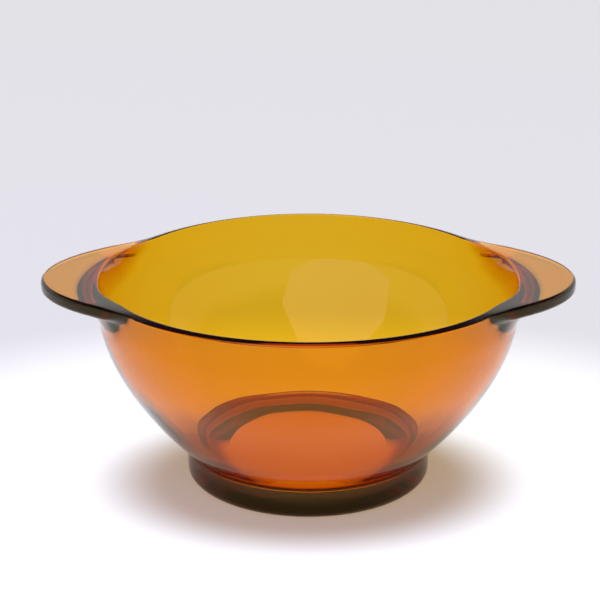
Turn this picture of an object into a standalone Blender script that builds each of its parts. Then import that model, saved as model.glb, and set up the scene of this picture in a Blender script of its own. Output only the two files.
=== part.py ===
"""Two-handled pressed-glass bowl: a round bowl on a foot ring, with a flat tab handle at each side of the rim.

The real bowl is one pressing of amber glass. It is modelled as four solids that meet where the mould's own
parts meet: the bowl, the foot ring below it and the two tab handles, with a hairline gap between neighbours.
Metres, +Z up. The bowl stands on Z = 0 with its axis on Z, and the handles point along -X and +X.
"""

import math

import bmesh
import bpy
from mathutils import Vector
from mathutils.geometry import interpolate_bezier

# Driving dimensions.
RIM_RADIUS = 0.068
HEIGHT = 0.0692
WALL = 0.0030
HAIRLINE = 0.0003

# The wall swells from the neck above the foot to the straight band below the rim.
NECK_RADIUS = 0.0394
NECK_HEIGHT = 0.0104
STRAIGHT_FROM = 0.061
WALL_START = Vector((0.0024, 0.0020))
WALL_END_SHARE = 0.49
BASE_WALL = 0.0044
FLOOR_HEIGHT = 0.011
FLOOR_FILLET = 0.003

# The foot ring, and the shallow dish that it leaves under the base. The ring stops at RING_RADIUS inside.
FOOT_RADIUS = 0.0399
FOOT_HEIGHT = 0.0096
FOOT_INNER_RADIUS = 0.035
FOOT_TOP_EDGE = 0.0006
FOOT_TOE_EDGE = 0.0032
FOOT_HEEL_EDGE = 0.0004
RING_RADIUS = 0.0315
RECESS_RADIUS = 0.0265
RECESS_DEPTH = 0.0048
RECESS_FILLET = 0.0005

# The lip slopes down outwards, except beside the handles. It is lowest there and rises between them.
LIP_FILLET = 0.0007
LIP_SLOPE = math.radians(10)
LIP_ANGLES = math.radians(24), math.radians(40)
RIM_DIP = 0.001
DIP_DEPTH = 0.014

# Beside a handle the mouth flares, so that the wall thins towards its top.
MOUTH_FLARE = 0.0014
MOUTH_DEPTH = 0.0065
MOUTH_ANGLES = math.radians(13), math.radians(31)

# The tab handles, flush with the lowest part of the rim.
TAB_REACH = 0.0181
TAB_HALF_ANGLE = math.radians(37)
TAB_TAPER_POWER = 1.6
TAB_SOLID_ANGLE = math.radians(30)
TAB_TOP = HEIGHT - RIM_DIP
TAB_THICKNESS = 0.004
TAB_EDGE = 0.0013
TAB_EDGE_SHARE = 0.4
TAB_ROOT_WIDTH = 0.008
TAB_ROOT_DROP = 0.0087
TAB_ROOT_SHARE = 0.5

TURN_STEPS = 80
WALL_STEPS = 14
CORNER_STEPS = 5
ROOT_STEPS = 8
TAB_SECTIONS = 25

AMBER = (0.80, 0.38, 0.03, 1.0)
DEEP_AMBER = (0.28, 0.045, 0.012, 1.0)
PALE_AMBER = (0.72, 0.42, 0.13, 1.0)


def clear_scene():
    for obj in list(bpy.data.objects):
        bpy.data.objects.remove(obj, do_unlink=True)


def glass(name, colour):
    """Clear coloured glass, fire-polished."""
    material = bpy.data.materials.new(name)
    material.use_nodes = True
    shader = material.node_tree.nodes["Principled BSDF"]
    shader.inputs["Base Color"].default_value = colour
    shader.inputs["Roughness"].default_value = 0.05
    shader.inputs["Metallic"].default_value = 0.0
    shader.inputs["IOR"].default_value = 1.52
    shader.inputs["Transmission Weight"].default_value = 1.0
    material.diffuse_color = colour
    return material


def smooth(value, low, high):
    share = min(max((value - low) / (high - low), 0), 1)
    return share * share * (3 - 2 * share)


def rounded(corners):
    """The outline through (radius, height, fillet) corners, with an arc at each corner that has a fillet."""
    outline = []
    for index, (radius, height, fillet) in enumerate(corners):
        here = Vector((radius, height))
        if fillet == 0:
            outline.append(here)
            continue
        before = (Vector(corners[index - 1][:2]) - here).normalized()
        after = (Vector(corners[(index + 1) % len(corners)][:2]) - here).normalized()
        half_angle = before.angle(after) / 2
        centre = here + (before + after).normalized() * fillet / math.sin(half_angle)
        start = here + before * fillet / math.tan(half_angle) - centre
        end = here + after * fillet / math.tan(half_angle) - centre
        for step in range(CORNER_STEPS + 1):
            outline.append(centre + fillet * start.slerp(end, step / CORNER_STEPS))
    return outline


def wall_curve(foot_radius, foot_height, top_radius):
    """The swelling side of the bowl, from the neck up to the straight band, as (radius, height, no fillet)."""
    start = Vector((foot_radius, foot_height))
    end = Vector((top_radius, STRAIGHT_FROM))
    end_handle = end - Vector((0, WALL_END_SHARE * (STRAIGHT_FROM - foot_height)))
    points = interpolate_bezier(start, start + WALL_START, end_handle, end, WALL_STEPS)
    return [(point.x, point.y, 0) for point in points]


def turn(name, outline, closed, material, collection):
    """A solid turned about Z from an outline of (radius, height) points that runs down its outer side."""
    mesh = bpy.data.meshes.new(name)
    vertices = [(point.x, 0, point.y) for point in outline]
    edges = [(index, index + 1) for index in range(len(vertices) - 1)]
    if closed:
        edges.append((len(vertices) - 1, 0))
    mesh.from_pydata(vertices, edges, [])
    obj = bpy.data.objects.new(name, mesh)
    collection.objects.link(obj)
    mesh.materials.append(material)
    screw = obj.modifiers.new("Turn", "SCREW")
    screw.axis = "Z"
    screw.steps = TURN_STEPS
    screw.render_steps = TURN_STEPS
    screw.use_merge_vertices = True
    screw.merge_threshold = 0.00001
    return obj


def shape_rim(obj):
    """Dip the rim of a turned bowl at the handles, flare its mouth there, and slope its lip everywhere else."""
    turned = bpy.data.meshes.new_from_object(obj.evaluated_get(bpy.context.evaluated_depsgraph_get()))
    obj.modifiers.clear()
    obj.data = turned
    for vertex in turned.vertices:
        point = vertex.co
        if point.z < HEIGHT - DIP_DEPTH:
            continue
        radius = math.hypot(point.x, point.y)
        from_handle = math.asin(min(abs(point.y) / radius, 1))
        inwards = (RIM_RADIUS - radius) / WALL
        flare = MOUTH_FLARE * smooth(point.z, HEIGHT - MOUTH_DEPTH, HEIGHT) * inwards
        widened = (radius + flare * (1 - smooth(from_handle, *MOUTH_ANGLES))) / radius
        past_crest = WALL * (1 - inwards) - LIP_FILLET
        slope_drop = past_crest * math.tan(LIP_SLOPE) * smooth(from_handle, *LIP_ANGLES)
        drop = slope_drop + RIM_DIP * math.cos(from_handle) ** 2
        point.x *= widened
        point.y *= widened
        point.z -= drop * smooth(point.z, HEIGHT - DIP_DEPTH, HEIGHT)


def recess_height(radius):
    """The height of the dish under the base at this radius, on its sloping side."""
    return RECESS_DEPTH * (FOOT_INNER_RADIUS - radius) / (FOOT_INNER_RADIUS - RECESS_RADIUS)


def bowl_body(collection):
    """The bowl itself, with the base plate that drops inside the foot ring."""
    floor_radius = NECK_RADIUS - BASE_WALL
    inner_wall = wall_curve(floor_radius, FLOOR_HEIGHT, RIM_RADIUS - WALL)
    outer_wall = wall_curve(NECK_RADIUS, NECK_HEIGHT, RIM_RADIUS)
    plate_radius = RING_RADIUS - HAIRLINE
    underside = FOOT_HEIGHT + HAIRLINE
    corners = [(0, FLOOR_HEIGHT, 0), (floor_radius, FLOOR_HEIGHT, FLOOR_FILLET)]
    corners += inner_wall[2:]
    corners += [(RIM_RADIUS - WALL, HEIGHT, LIP_FILLET), (RIM_RADIUS, HEIGHT, LIP_FILLET)]
    corners += outer_wall[::-1]
    corners += [(NECK_RADIUS, underside, 0), (plate_radius, underside, 0)]
    corners += [(plate_radius, recess_height(plate_radius), 0)]
    corners += [(RECESS_RADIUS, RECESS_DEPTH, RECESS_FILLET), (0, RECESS_DEPTH, 0)]
    obj = turn("bowl_body", rounded(corners), False, glass("amber_glass", AMBER), collection)
    bpy.context.view_layer.update()
    shape_rim(obj)


def foot_ring(collection):
    """The ring that the bowl stands on."""
    corners = [
        (RING_RADIUS, FOOT_HEIGHT, 0),
        (FOOT_RADIUS, FOOT_HEIGHT, FOOT_TOP_EDGE),
        (FOOT_RADIUS, 0, FOOT_TOE_EDGE),
        (FOOT_INNER_RADIUS, 0, FOOT_HEEL_EDGE),
        (RING_RADIUS, recess_height(RING_RADIUS), 0),
    ]
    return turn("foot_ring", rounded(corners), True, glass("foot_glass", DEEP_AMBER), collection)


def tab_reach(angle):
    """How far the tab stands out from the rim at this angle from its middle: a rounded tip, drawn in at the root."""
    return TAB_REACH * math.cos(math.pi / 2 * angle / TAB_HALF_ANGLE) ** TAB_TAPER_POWER


def tab_section(reach):
    """The tab cut along a radius: flat top and underside, rounded edge, and a long root down to the wall."""
    root = RIM_RADIUS + HAIRLINE
    tip = RIM_RADIUS + reach
    edge = min(TAB_EDGE, TAB_EDGE_SHARE * reach)
    width = min(TAB_ROOT_WIDTH, TAB_ROOT_SHARE * reach)
    drop = TAB_ROOT_DROP * width / TAB_ROOT_WIDTH
    underside = TAB_TOP - TAB_THICKNESS
    root_angle = math.acos(1 - HAIRLINE / width)
    section = [Vector((root, TAB_TOP))]
    for centre_height, start in ((TAB_TOP - edge, math.pi / 2), (underside + edge, 0)):
        for step in range(CORNER_STEPS + 1):
            angle = start - math.pi / 2 * step / CORNER_STEPS
            section.append(Vector((tip - edge + edge * math.cos(angle), centre_height + edge * math.sin(angle))))
    for step in range(ROOT_STEPS + 1):
        angle = math.pi / 2 + (root_angle - math.pi / 2) * step / ROOT_STEPS
        radius = RIM_RADIUS + width * (1 - math.cos(angle))
        section.append(Vector((radius, underside - drop + drop * math.sin(angle))))
    return section


def loft(name, rings, material, collection):
    """A solid through a row of closed rings with equal numbers of points, capped at both ends."""
    shape = bmesh.new()
    rows = [[shape.verts.new(point) for point in ring] for ring in rings]
    count = len(rows[0])
    for first, second in zip(rows, rows[1:]):
        for index in range(count):
            after = (index + 1) % count
            shape.faces.new((first[index], first[after], second[after], second[index]))
    shape.faces.new(rows[0])
    shape.faces.new(rows[-1])
    bmesh.ops.recalc_face_normals(shape, faces=shape.faces)
    mesh = bpy.data.meshes.new(name)
    shape.to_mesh(mesh)
    shape.free()
    mesh.materials.append(material)
    obj = bpy.data.objects.new(name, mesh)
    collection.objects.link(obj)
    return obj


def handle(name, side, material, collection):
    """One flat tab handle. Its side is +1 along +X and -1 along -X."""
    rings = []
    for index in range(TAB_SECTIONS):
        angle = TAB_SOLID_ANGLE * (2 * index / (TAB_SECTIONS - 1) - 1)
        section = tab_section(tab_reach(angle))
        turned = [(side * p.x * math.cos(angle), side * p.x * math.sin(angle), p.y) for p in section]
        rings.append(turned)
    return loft(name, rings, material, collection)


def build():
    clear_scene()
    collection = bpy.data.collections.new("two_handled_glass_bowl")
    bpy.context.scene.collection.children.link(collection)
    bowl_body(collection)
    foot_ring(collection)
    tab_glass = glass("tab_glass", PALE_AMBER)
    for name, side in (("handle_left", -1), ("handle_right", 1)):
        handle(name, side, tab_glass, collection)


build()
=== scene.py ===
"""The look of a two-handled pressed-glass bowl: one continuous piece of clear amber glass on a pale floor.

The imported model's four solids are stretches of one pressing, so a single glass piece stands for all of them.
It is lofted from sections through the bowl's axis, each running from the middle of the floor up the inside,
over the rim or the tab handle, down the outside, round the foot ring and back to the middle underneath.
"""

import math

import bpy
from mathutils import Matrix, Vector
from mathutils.geometry import interpolate_bezier

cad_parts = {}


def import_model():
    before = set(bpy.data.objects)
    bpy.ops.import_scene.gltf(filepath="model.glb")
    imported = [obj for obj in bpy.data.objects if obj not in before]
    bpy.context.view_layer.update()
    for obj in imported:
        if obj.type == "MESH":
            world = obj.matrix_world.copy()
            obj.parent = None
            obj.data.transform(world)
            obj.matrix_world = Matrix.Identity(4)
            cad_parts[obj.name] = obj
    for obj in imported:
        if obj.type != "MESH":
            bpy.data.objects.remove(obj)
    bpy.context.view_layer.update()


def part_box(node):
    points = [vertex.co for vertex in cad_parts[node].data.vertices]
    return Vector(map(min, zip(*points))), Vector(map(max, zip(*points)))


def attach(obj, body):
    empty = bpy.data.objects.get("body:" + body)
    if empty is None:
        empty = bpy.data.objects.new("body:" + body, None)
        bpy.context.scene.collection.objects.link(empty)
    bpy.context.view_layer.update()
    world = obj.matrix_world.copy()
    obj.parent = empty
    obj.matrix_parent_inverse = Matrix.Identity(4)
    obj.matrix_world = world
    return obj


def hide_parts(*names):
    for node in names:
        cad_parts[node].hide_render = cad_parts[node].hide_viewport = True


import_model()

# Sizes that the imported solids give.
BODY_LOW, BODY_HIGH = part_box("bowl_body")
FOOT_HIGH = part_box("foot_ring")[1]
TAB_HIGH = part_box("handle_right")[1]
RIM_RADIUS = BODY_HIGH.y
HEIGHT = BODY_HIGH.z
FOOT_RADIUS = FOOT_HIGH.y
FOOT_HEIGHT = FOOT_HIGH.z
RECESS_DEPTH = BODY_LOW.z
RIM_DIP = HEIGHT - TAB_HIGH.z
TAB_REACH = TAB_HIGH.x - RIM_RADIUS

# The wall. Its curve leaves the neck along WALL_START and meets the rim's straight band upright.
WALL = 0.0030
BASE_WALL = 0.0044
NECK_RADIUS = 0.0394
NECK_HEIGHT = 0.0104
NECK_FILLET = 0.0003
STRAIGHT_FROM = 0.061
WALL_START = Vector((0.0024, 0.0020))
WALL_END_SHARE = 0.49
FLOOR_HEIGHT = 0.011
FLOOR_FILLET = 0.003

# The lip. Its top lies level at the tabs and slopes outwards elsewhere. The slope sets in between LIP_ANGLES
# from a tab's middle.
LIP_FILLET = 0.0007
LIP_SLOPE = math.radians(10)
LIP_ANGLES = math.radians(24), math.radians(40)

# The foot ring and the recess inside it.
FOOT_INNER_RADIUS = 0.035
FOOT_TOP_EDGE = 0.0002
FOOT_TOE_EDGE = 0.0032
FOOT_HEEL_EDGE = 0.0004
RECESS_RADIUS = 0.0265
RECESS_FILLET = 0.0005

# The tab handles. Between the slim and the full reach the bare rim turns into the tab's section.
TAB_HALF_ANGLE = math.radians(37)
TAB_TAPER_POWER = 1.6
TAB_THICKNESS = 0.004
TAB_EDGE = 0.0013
TAB_ROOT = 0.008
TAB_ROOT_FROM = 0.0555
TAB_ROOT_GAP = 0.0005
TAB_SLIM_REACH = 0.0006
TAB_SLIM_DEPTH = 0.0045
TAB_FULL_REACH = 0.0045

# The mouth's flare beside each tab, which fades out between MOUTH_ANGLES from the tab's middle. Its last step
# lies MOUTH_LEAD times its edge's radius below the top.
MOUTH_FLARE = 0.0028
MOUTH_DEPTH = 0.0079
MOUTH_EDGE = 0.0013
MOUTH_LEAD = 1.6
MOUTH_ANGLES = math.radians(13), math.radians(30)

# The slight unevenness of the pressed walls: depth, waves round the bowl and slant. It fades out towards the
# floor and the lip.
RIPPLES = (0.000025, 6, 90), (0.000012, 13, -130), (0.000006, 23, 200)
RIPPLE_FADE_IN = 0.02, 0.032
RIPPLE_FADE_OUT = 0.044, 0.055
OUTER_RIPPLE_PHASE = 2.4

# How finely the bowl is cut: sections round it, and steps along the stretches of a section. The bare rim has
# as many steps as the tab's edge, underside and root together, because one turns into the other.
SECTIONS = 360
WALL_STEPS = 48
WALL_STEPS_IN_FLOOR_FILLET = 4
FLARE_STEPS = 8
LIP_STEPS = 7
EDGE_STEPS = 10
UNDERSIDE_STEPS = 5
ROOT_STEPS = 16
BAND_STEPS = 8
SLIM_STEPS = EDGE_STEPS + UNDERSIDE_STEPS + ROOT_STEPS + 1 - BAND_STEPS

# The glass: absorption per metre in red, green and blue, and the tint of its straight-on reflection.
ABSORPTION = (45, 220, 1350)
GLASS_IOR = 1.52
REFLECTION_TINT = (1, 0.75, 0.25, 1)
BOUNCES = 24

# The floor. It glows through stops of (distance from the glow's centre, colour): a soft shadow close round
# the bowl with bright floor beyond it that dims outwards, and light under the base. GLOW_SPAN lies past the
# last stop.
FLOOR_SIZE = 8
FLOOR_ALBEDO = 0.3
SHADOW_CENTRE = (0, -0.008, 0)
SHADOW_STRETCH = (0.8, 1, 1)
SHADOW_GLOW = (
    (0, (0.37, 0.28, 0.12)),
    (0.036, (0.38, 0.27, 0.15)),
    (0.064, (1.02, 1.02, 1.02)),
    (0.11, (0.95, 0.95, 0.95)),
    (0.17, (0.68, 0.68, 0.68)),
)
BASE_GLOW = (0, (0.95, 2.4, 0)), (0.028, (0.95, 2.4, 0)), (0.034, (0, 0, 0))
GLOW_SPAN = 0.25

# The studio round it: pale walls that end between two elevations, the ceiling over them, and one softbox.
WALL_TOP = math.radians(24), math.radians(36)
STUDIO_WALL = (0.75, 0.75, 0.77)
STUDIO_CEILING = (0.1, 0.05, 0.095)
SOFTBOX_PLACE = (-0.42, -1.1, 0.85)
SOFTBOX_RADIUS = 0.9
SOFTBOX_SIDES = 8
SOFTBOX_COLOUR = (0.5, 0.55, 1.5)
SOFTBOX_RADIANCE = 1.8

# The camera: in front of the bowl and tilted down on it.
CAMERA_PLACE = (-0.0027, -0.6, 0.2665)
CAMERA_TILT = math.radians(90 - 19.03)
CAMERA_LENS = 117.6
CAMERA_SENSOR = 36
CAMERA_CLIP = 0.01, 50


def smooth(value, low, high):
    """From 0 to 1 as value goes from low to high, with a soft start and end."""
    share = min(max((value - low) / (high - low), 0), 1)
    return share * share * (3 - 2 * share)


def wall_curve(foot_radius, foot_height, top_radius):
    """The swelling side of the bowl, from the neck up to the straight band, as corners with no fillet."""
    start = Vector((foot_radius, foot_height))
    end = Vector((top_radius, STRAIGHT_FROM))
    end_handle = end - Vector((0, WALL_END_SHARE * (STRAIGHT_FROM - foot_height)))
    points = interpolate_bezier(start, start + WALL_START, end_handle, end, WALL_STEPS)
    return [(point.x, point.y, 0, 0, 0) for point in points]


OUTER_WALL = wall_curve(NECK_RADIUS, NECK_HEIGHT, RIM_RADIUS)


def wall_radius(height):
    """The outer wall's radius at this height."""
    if height >= STRAIGHT_FROM:
        return RIM_RADIUS
    for (low_radius, low, *_), (high_radius, high, *_) in zip(OUTER_WALL, OUTER_WALL[1:]):
        if height <= high:
            return low_radius + (high_radius - low_radius) * (height - low) / (high - low)
    return RIM_RADIUS


def rounded(corners):
    """The outline through corners of (radius, height, fillet, arc steps, points on the straight after it).

    The points on a straight crowd towards its ends, so that the arcs at its ends keep their shading.
    """
    outline = []
    runs = []
    for index, (radius, height, fillet, steps, run) in enumerate(corners):
        here = Vector((radius, height))
        if fillet == 0 or steps == 0:
            outline.append([here] * (steps + 1))
        else:
            before = (Vector(corners[index - 1][:2]) - here).normalized()
            after = (Vector(corners[index + 1][:2]) - here).normalized()
            half_angle = before.angle(after) / 2
            centre = here + (before + after).normalized() * fillet / math.sin(half_angle)
            start = here + before * fillet / math.tan(half_angle) - centre
            end = here + after * fillet / math.tan(half_angle) - centre
            outline.append([centre + fillet * start.slerp(end, step / steps) for step in range(steps + 1)])
        runs.append(run)
    points = []
    for index, bend in enumerate(outline):
        points += bend
        for step in range(runs[index]):
            share = (1 - math.cos(math.pi * (step + 1) / (runs[index] + 1))) / 2
            points.append(bend[-1].lerp(outline[index + 1][0], share))
    return points


def tab_reach(angle):
    """How far the tab stands out from the rim at this angle from the tab's middle."""
    if angle >= TAB_HALF_ANGLE:
        return 0
    return TAB_REACH * math.cos(math.pi / 2 * angle / TAB_HALF_ANGLE) ** TAB_TAPER_POWER


def inside(top, mouth, slope):
    """From the middle of the floor up the inner wall to the flat on top.

    The top flares out beside a tab, as mouth goes from 0 to 1.
    """
    flare = mouth * MOUTH_FLARE
    floor_radius = NECK_RADIUS - BASE_WALL
    radius = RIM_RADIUS - WALL
    corners = [(0, FLOOR_HEIGHT, 0, 0, 12), (floor_radius, FLOOR_HEIGHT, FLOOR_FILLET, 8, 0)]
    corners += wall_curve(floor_radius, FLOOR_HEIGHT, radius)[WALL_STEPS_IN_FLOOR_FILLET:]
    lead = 1 - MOUTH_LEAD * MOUTH_EDGE / MOUTH_DEPTH
    for step in range(1, FLARE_STEPS + 1):
        share = lead * step / FLARE_STEPS
        corners.append((radius + flare * share ** 2, top - MOUTH_DEPTH * (1 - share), 0, 0, 0))
    fillet = LIP_FILLET + mouth * (MOUTH_EDGE - LIP_FILLET)
    crest = top + fillet * (1 / math.tan((math.pi / 2 - slope) / 2) - 1)
    corners += [(radius + flare, crest, fillet, 10, 0)]
    corners += [(RIM_RADIUS + flare, crest - WALL * math.tan(slope), 0, 0, 0)]
    return rounded(corners)[:-1]


def arc(radius, height, fillet, first, last):
    """Points on a quarter circle about (radius, height), from one angle in degrees to another."""
    angles = [math.radians(first + (last - first) * step / EDGE_STEPS) for step in range(EDGE_STEPS + 1)]
    return [Vector((radius + fillet * math.cos(a), height + fillet * math.sin(a))) for a in angles]


def edge(top, reach, slope):
    """From the flat of the rim or tab round its outer edge, back along the underside and down to the wall."""
    full = smooth(reach, TAB_SLIM_REACH, TAB_FULL_REACH)
    fillet = LIP_FILLET + full * (TAB_EDGE - LIP_FILLET)
    tip = RIM_RADIUS + reach
    top -= (WALL + reach) * math.tan(slope) - fillet * (1 - math.tan((math.pi / 2 - slope) / 2))
    points = arc(tip - fillet, top - fillet, fillet, 90 - math.degrees(slope), 0)
    slim = []
    for step in range(SLIM_STEPS):
        share = (step + 1) / SLIM_STEPS
        height = top - fillet - share * TAB_SLIM_DEPTH
        slim.append(Vector((wall_radius(height) + reach * (1 + math.cos(math.pi * share)) / 2, height)))
    for step in range(BAND_STEPS):
        share = (step + 1) / BAND_STEPS
        height = top - fillet - TAB_SLIM_DEPTH + share * (TAB_ROOT_FROM - top + fillet + TAB_SLIM_DEPTH)
        slim.append(Vector((wall_radius(height), height)))
    under = top - TAB_THICKNESS
    tab = arc(tip - fillet, under + fillet, fillet, 0, -90)
    root = wall_radius(under) + min(TAB_ROOT, max(tip - fillet - RIM_RADIUS, 0))
    for step in range(1, UNDERSIDE_STEPS):
        tab.append(Vector((tip - fillet + (root - tip + fillet) * step / UNDERSIDE_STEPS, under)))
    for step in range(ROOT_STEPS + 1):
        angle = math.radians(90 * step / ROOT_STEPS)
        height = under - (under - TAB_ROOT_FROM) * (1 - math.cos(angle))
        tab.append(Vector((wall_radius(height) + (root - RIM_RADIUS) * (1 - math.sin(angle)), height)))
    return points + [first.lerp(second, full) for first, second in zip(slim, tab)]


def outside():
    """From below a tab's root down the outer wall, round the foot ring and into the recess under the base."""
    corners = [corner for corner in OUTER_WALL[::-1] if corner[1] < TAB_ROOT_FROM - TAB_ROOT_GAP]
    corners += [
        (NECK_RADIUS, FOOT_HEIGHT, NECK_FILLET, 4, 0),
        (FOOT_RADIUS, FOOT_HEIGHT, FOOT_TOP_EDGE, 4, 0),
        (FOOT_RADIUS, 0, FOOT_TOE_EDGE, 12, 4),
        (FOOT_INNER_RADIUS, 0, FOOT_HEEL_EDGE, 6, 8),
        (RECESS_RADIUS, RECESS_DEPTH, RECESS_FILLET, 8, 12),
        (0, RECESS_DEPTH, 0, 0, 0),
    ]
    return rounded(corners)


def rippled(points, angle, phase):
    """The points of one wall, moved in or out by its unevenness."""
    moved = []
    for point in points:
        fade = smooth(point.y, *RIPPLE_FADE_IN) * (1 - smooth(point.y, *RIPPLE_FADE_OUT))
        shift = 0
        for depth, waves, slant in RIPPLES:
            shift += depth * math.sin(waves * angle + slant * point.y + phase)
        moved.append(Vector((point.x + fade * shift, point.y)))
    return moved


def section(angle):
    """The bowl cut by a half-plane through its axis, as (radius, height) points, poles included."""
    top = HEIGHT - RIM_DIP * math.cos(angle) ** 2
    from_tab = math.asin(abs(math.sin(angle)))
    slope = LIP_SLOPE * smooth(from_tab, *LIP_ANGLES)
    inner = inside(top, 1 - smooth(from_tab, *MOUTH_ANGLES), slope)
    rim = edge(top, tab_reach(from_tab), slope)
    flat = [inner[-1].lerp(rim[0], step / LIP_STEPS) for step in range(1, LIP_STEPS)]
    return rippled(inner, angle, 0) + flat + rim + rippled(outside(), angle, OUTER_RIPPLE_PHASE)


def lathe(name, material):
    """A closed mesh through one section per angle, with a single vertex at each pole."""
    sections = [section(2 * math.pi * index / SECTIONS) for index in range(SECTIONS)]
    length = len(sections[0])
    vertices = [(0, 0, sections[0][0].y), (0, 0, sections[0][-1].y)]
    for index, outline in enumerate(sections):
        angle = 2 * math.pi * index / SECTIONS
        for point in outline[1:-1]:
            vertices.append((point.x * math.cos(angle), point.x * math.sin(angle), point.y))
    row = length - 2
    faces = []
    for index in range(SECTIONS):
        here = 2 + index * row
        after = 2 + (index + 1) % SECTIONS * row
        faces.append((0, here, after))
        for step in range(row - 1):
            faces.append((here + step, here + step + 1, after + step + 1, after + step))
        faces.append((1, after + row - 1, here + row - 1))
    mesh = bpy.data.meshes.new(name)
    mesh.from_pydata(vertices, [], faces)
    mesh.validate()
    mesh.shade_smooth()
    mesh.materials.append(material)
    obj = bpy.data.objects.new(name, mesh)
    bpy.context.scene.collection.objects.link(obj)
    return obj


def amber_glass():
    """Clear glass whose colour deepens with its thickness."""
    material = bpy.data.materials.new("amber_glass")
    material.use_nodes = True
    nodes = material.node_tree.nodes
    shader = nodes["Principled BSDF"]
    shader.inputs["Base Color"].default_value = (1, 1, 1, 1)
    shader.inputs["Roughness"].default_value = 0.0
    shader.inputs["IOR"].default_value = GLASS_IOR
    shader.inputs["Transmission Weight"].default_value = 1
    shader.inputs["Specular Tint"].default_value = REFLECTION_TINT
    volume = nodes.new("ShaderNodeVolumeAbsorption")
    density = max(ABSORPTION)
    volume.inputs["Color"].default_value = (*[1 - value / density for value in ABSORPTION], 1)
    volume.inputs["Density"].default_value = density
    material.node_tree.links.new(volume.outputs["Volume"], nodes["Material Output"].inputs["Volume"])
    return material


def glow(tree, stops, centre=(0, 0, 0), stretch=(1, 1, 1)):
    """A colour that changes with distance from a centre on the floor, through stops of (distance, colour)."""
    place = tree.nodes.new("ShaderNodeTexCoord")
    offset = tree.nodes.new("ShaderNodeVectorMath")
    offset.operation = "SUBTRACT"
    offset.inputs[1].default_value = centre
    scale = tree.nodes.new("ShaderNodeVectorMath")
    scale.operation = "MULTIPLY"
    scale.inputs[1].default_value = [value / GLOW_SPAN for value in stretch]
    distance = tree.nodes.new("ShaderNodeVectorMath")
    distance.operation = "LENGTH"
    ramp = tree.nodes.new("ShaderNodeValToRGB")
    ramp.color_ramp.interpolation = "EASE"
    elements = ramp.color_ramp.elements
    elements.remove(elements[1])
    for index, (radius, colour) in enumerate(stops):
        element = elements[0] if index == 0 else elements.new(radius / GLOW_SPAN)
        element.position = radius / GLOW_SPAN
        element.color = (*colour, 1)
    tree.links.new(place.outputs["Object"], offset.inputs[0])
    tree.links.new(offset.outputs["Vector"], scale.inputs[0])
    tree.links.new(scale.outputs["Vector"], distance.inputs[0])
    tree.links.new(distance.outputs["Value"], ramp.inputs["Fac"])
    return ramp.outputs["Color"]


def floor():
    """A pale floor that glows, with a soft brownish shadow close to the bowl and light under its base."""
    mesh = bpy.data.meshes.new("floor")
    half = FLOOR_SIZE / 2
    corners = [(-half, -half, 0), (half, -half, 0), (half, half, 0), (-half, half, 0)]
    mesh.from_pydata(corners, [], [(0, 1, 2, 3)])
    material = bpy.data.materials.new("floor")
    material.use_nodes = True
    tree = material.node_tree
    shader = tree.nodes["Principled BSDF"]
    shader.inputs["Base Color"].default_value = (*[FLOOR_ALBEDO] * 3, 1)
    shader.inputs["Roughness"].default_value = 1
    shader.inputs["Specular IOR Level"].default_value = 0
    shader.inputs["Emission Strength"].default_value = 1
    both = tree.nodes.new("ShaderNodeVectorMath")
    both.operation = "ADD"
    tree.links.new(glow(tree, SHADOW_GLOW, SHADOW_CENTRE, SHADOW_STRETCH), both.inputs[0])
    tree.links.new(glow(tree, BASE_GLOW), both.inputs[1])
    tree.links.new(both.outputs["Vector"], shader.inputs["Emission Color"])
    mesh.materials.append(material)
    obj = bpy.data.objects.new("floor", mesh)
    bpy.context.scene.collection.objects.link(obj)


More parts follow.
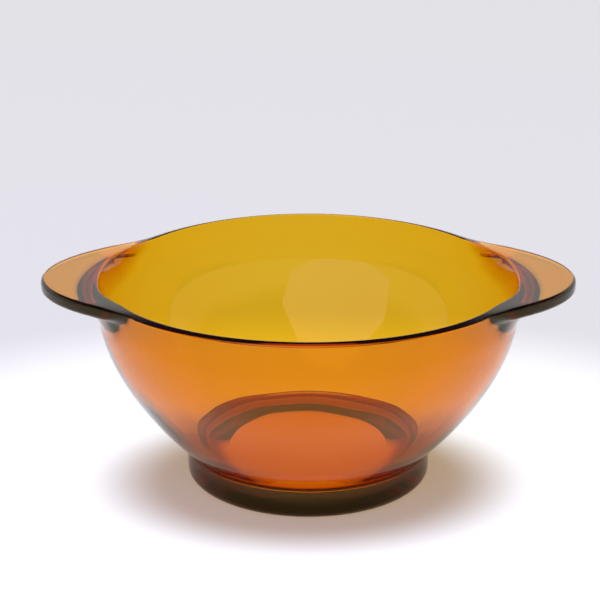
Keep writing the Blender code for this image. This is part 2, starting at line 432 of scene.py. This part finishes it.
def world():
    """A studio with pale walls low down all round and a dim, slightly purple ceiling."""
    scene_world = bpy.data.worlds.new("studio")
    bpy.context.scene.world = scene_world
    scene_world.use_nodes = True
    nodes = scene_world.node_tree.nodes
    links = scene_world.node_tree.links
    coordinates = nodes.new("ShaderNodeTexCoord")
    split = nodes.new("ShaderNodeSeparateXYZ")
    ramp = nodes.new("ShaderNodeMapRange")
    ramp.interpolation_type = "SMOOTHSTEP"
    ramp.inputs["From Min"].default_value = math.sin(WALL_TOP[0])
    ramp.inputs["From Max"].default_value = math.sin(WALL_TOP[1])
    mix = nodes.new("ShaderNodeMix")
    mix.data_type = "RGBA"
    mix.inputs["A"].default_value = (*STUDIO_WALL, 1)
    mix.inputs["B"].default_value = (*STUDIO_CEILING, 1)
    links.new(coordinates.outputs["Generated"], split.inputs["Vector"])
    links.new(split.outputs["Z"], ramp.inputs["Value"])
    links.new(ramp.outputs["Result"], mix.inputs["Factor"])
    links.new(mix.outputs["Result"], nodes["Background"].inputs["Color"])
    nodes["Background"].inputs["Strength"].default_value = 1


def softbox():
    """A softbox of even brightness with straight sides, facing the bowl."""
    centre = Vector(SOFTBOX_PLACE)
    turn = (-centre).to_track_quat("Z", "Y")
    corners = []
    for index in range(SOFTBOX_SIDES):
        angle = 2 * math.pi * (index + 0.5) / SOFTBOX_SIDES
        corner = Vector((SOFTBOX_RADIUS * math.cos(angle), SOFTBOX_RADIUS * math.sin(angle), 0))
        corners.append(centre + turn @ corner)
    mesh = bpy.data.meshes.new("softbox")
    mesh.from_pydata(corners, [], [tuple(range(SOFTBOX_SIDES))])
    material = bpy.data.materials.new("softbox")
    material.use_nodes = True
    shader = material.node_tree.nodes["Principled BSDF"]
    shader.inputs["Base Color"].default_value = (0, 0, 0, 1)
    shader.inputs["Emission Color"].default_value = (*SOFTBOX_COLOUR, 1)
    shader.inputs["Emission Strength"].default_value = SOFTBOX_RADIANCE
    mesh.materials.append(material)
    obj = bpy.data.objects.new("softbox", mesh)
    bpy.context.scene.collection.objects.link(obj)


def camera():
    """The camera, with a long lens, looking down into the bowl from the front."""
    data = bpy.data.cameras.new("camera")
    data.sensor_width = CAMERA_SENSOR
    data.lens = CAMERA_LENS
    data.clip_start, data.clip_end = CAMERA_CLIP
    obj = bpy.data.objects.new("camera", data)
    obj.location = CAMERA_PLACE
    obj.rotation_euler = (CAMERA_TILT, 0, 0)
    bpy.context.scene.collection.objects.link(obj)
    bpy.context.scene.camera = obj


bowl = lathe("glass_bowl", amber_glass())
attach(bowl, "root")
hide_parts("bowl_body", "foot_ring", "handle_left", "handle_right")

floor()
world()
softbox()
camera()
scene = bpy.context.scene
scene.view_settings.view_transform = "Standard"
scene.cycles.max_bounces = BOUNCES
scene.cycles.transmission_bounces = BOUNCES
